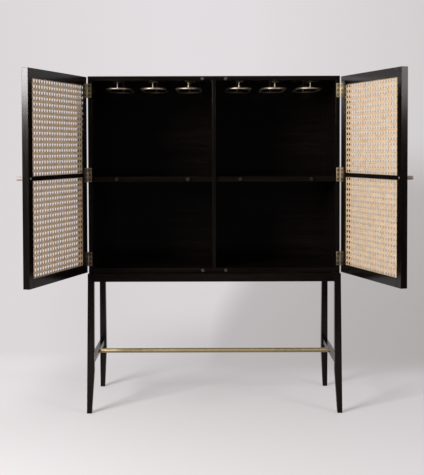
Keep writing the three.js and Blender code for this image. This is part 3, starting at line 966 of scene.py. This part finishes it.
def sweep_colour(tree, direction):
    """The pale backdrop by direction: lighter in the middle, with a soft shade low on the right."""
    parts = split(tree, direction)
    x, y, z = (parts[axis] for axis in "XYZ")
    across = add_node(tree, "ShaderNodeMapRange")
    across.inputs["From Min"].default_value = -SWEEP_HALF
    across.inputs["From Max"].default_value = SWEEP_HALF
    tree.links.new(x, across.inputs["Value"])
    plain = ramp(tree, across.outputs["Result"], SWEEP)

    depths = (spread(tree, eased(tree, z, *limits), 0.0, share) for limits, share in SHADE_DEPTHS)
    leaning = math_node(tree, "MULTIPLY_ADD", z, -SHADE_LEAN, x)
    right = product(tree, eased(tree, leaning, *SHADE_RIGHT), math_node(tree, "ADD", *depths))
    low_band = spread(tree, eased(tree, z, *LOW_BAND_Z), 0.0, LOW_BAND_SHARE)
    low_band = product(tree, low_band, eased(tree, x, *LOW_BAND_X))
    creep = spread(tree, eased(tree, z, *CREEP_Z), 0.0, CREEP_SHARE)
    creep = product(tree, creep, eased(tree, x, *CREEP_X))
    shade = math_node(tree, "MAXIMUM", right, math_node(tree, "ADD", low_band, creep))
    shade = product(tree, shade, eased(tree, z, *SHADE_FOOT_Z), eased(tree, y, *SHADE_AHEAD_Y))
    return mixed(tree, shade, plain, SHADE, "MULTIPLY")


def ray_kinds(tree):
    """1 for rays from the camera or through glass, and then 1 for reflected rays."""
    rays = add_node(tree, "ShaderNodeLightPath").outputs
    straight = math_node(tree, "MAXIMUM", rays["Is Camera Ray"], rays["Is Transmission Ray"])
    return straight, rays["Is Glossy Ray"]


def floor_material():
    """A pale floor that fades into the backdrop's colours away from the object."""
    material, tree, shader = new_material("studio_floor")
    straight, reflected = ray_kinds(tree)
    place = add_node(tree, "ShaderNodeTexCoord").outputs["Object"]
    parts = split(tree, place)

    # Near the object the lamps light it, and a little light is added where it is seen straight
    shader.inputs["Roughness"].default_value = FLOOR_ROUGHNESS
    shader.inputs["Specular IOR Level"].default_value = 0.0
    colour = mixed(tree, reflected, FLOOR_COLOUR, FLOOR_MIRRORED)
    tree.links.new(mixed(tree, straight, colour, FLOOR_SEEN), shader.inputs["Base Color"])
    lift = glowing(tree, "ShaderNodeEmission", FLOOR_LIGHT, product(tree, straight, FLOOR_LIFT))
    near = shader_sum(tree, shader.outputs["BSDF"], lift)

    # Far away it has the backdrop's colour in the direction from the camera
    away = add_node(tree, "ShaderNodeVectorMath", operation="SUBTRACT")
    away.inputs[1].default_value = CAMERA_PLACE
    tree.links.new(place, away.inputs[0])
    direction = add_node(tree, "ShaderNodeVectorMath", operation="NORMALIZE")
    tree.links.new(away.outputs["Vector"], direction.inputs[0])
    indirect = spread(tree, eased(tree, parts["Y"], *FAR_FLOOR_Y), FAR_FLOOR_FRONT, FAR_FLOOR_BEHIND)
    strength = math_node(tree, "MAXIMUM", straight, indirect)
    far = glowing(tree, "ShaderNodeEmission", sweep_colour(tree, direction.outputs["Vector"]), strength)

    length = add_node(tree, "ShaderNodeVectorMath", operation="LENGTH")
    tree.links.new(place, length.inputs[0])
    beyond = eased(tree, length.outputs["Value"], *NEAR_FLOOR)
    fade = math_node(tree, "MAXIMUM", beyond, eased(tree, parts["Y"], *NEAR_FLOOR_Y))
    floor = shader_mix(tree, fade, near, far)

    # A soft glow at the far left
    bands = (eased(tree, parts[axis], *limits) for axis, limits in GLOW_BANDS)
    glow = spread(tree, product(tree, straight, *bands), 0.0, GLOW)
    total = shader_sum(tree, floor, glowing(tree, "ShaderNodeEmission", FLOOR_LIGHT, glow))
    tree.links.new(total, tree.nodes["Material Output"].inputs["Surface"])
    return material


def studio_floor():
    """The floor under the feet."""
    low, high = (-FLOOR_SIZE, -FLOOR_SIZE, -FLOOR_THICKNESS), (FLOOR_SIZE, FLOOR_SIZE, 0)
    bm = bmesh.new()
    add_box(bm, low, high, Matrix.Identity(4))
    mesh = bpy.data.meshes.new("floor")
    bm.to_mesh(mesh)
    bm.free()
    piece = bpy.data.objects.new("floor", mesh)
    bpy.context.scene.collection.objects.link(piece)
    mesh.materials.append(floor_material())


def studio_world():
    """A pale sweep behind the object and a dark room before it, with even ambient light."""
    world = bpy.data.worlds.new("studio")
    bpy.context.scene.world = world
    world.use_nodes = True
    tree = world.node_tree
    tree.nodes.clear()
    direction = add_node(tree, "ShaderNodeTexCoord").outputs["Generated"]
    sweep = sweep_colour(tree, direction)
    behind = spread(tree, eased(tree, split(tree, direction)["Y"], *ROOM_Y), DARK_ROOM, MIRRORED_SWEEP)
    straight, reflected = ray_kinds(tree)
    even = glowing(tree, "ShaderNodeBackground", AMBIENT_COLOUR, AMBIENT)
    mirrored = glowing(tree, "ShaderNodeBackground", sweep, behind)
    seen = glowing(tree, "ShaderNodeBackground", sweep, 1.0)
    around = shader_mix(tree, straight, shader_mix(tree, reflected, even, mirrored), seen)
    output = add_node(tree, "ShaderNodeOutputWorld")
    tree.links.new(around, output.inputs["Surface"])


def softbox(name, place, size, power):
    """A rectangular lamp that looks at the carcass."""
    lamp = bpy.data.lights.new(name, "AREA")
    lamp.shape = "RECTANGLE"
    lamp.size, lamp.size_y = size
    lamp.energy = power
    lamp.color = LAMP_COLOUR
    box = bpy.data.objects.new(name, lamp)
    bpy.context.scene.collection.objects.link(box)
    box.location = place
    box.rotation_euler = (Vector(LAMP_TARGET) - Vector(place)).to_track_quat("-Z", "Y").to_euler()


def studio_camera():
    """The camera of the photograph, fitted to the object's corners in it."""
    lens = bpy.data.cameras.new("camera")
    camera = bpy.data.objects.new("camera", lens)
    bpy.context.scene.collection.objects.link(camera)
    bpy.context.scene.camera = camera
    lens.sensor_fit = "AUTO"
    lens.sensor_width = SENSOR_WIDTH
    lens.lens = SENSOR_WIDTH * FOCAL_PIXELS / PHOTO_HEIGHT
    lens.shift_x = (PHOTO_WIDTH / 2 - AXIS_PIXEL_X) / PHOTO_HEIGHT
    lens.shift_y = (AXIS_PIXEL_Y - PHOTO_HEIGHT / 2) / PHOTO_HEIGHT
    camera.location = CAMERA_PLACE
    tilt = Matrix.Rotation(math.pi / 2 - CAMERA_DOWN, 4, "X")
    roll = Matrix.Rotation(CAMERA_ROLL, 4, "Z")
    camera.rotation_euler = (tilt @ roll).to_euler()


studio_floor()
studio_world()
softbox("key_softbox", place=(-2.51, -2.84, 2.10), size=(1.3, 1.5), power=166)
softbox("fill_softbox", place=(2.76, -2.6, 2.07), size=(1.0, 1.5), power=25.4)
studio_camera()
bpy.context.scene.view_settings.view_transform = "Standard"
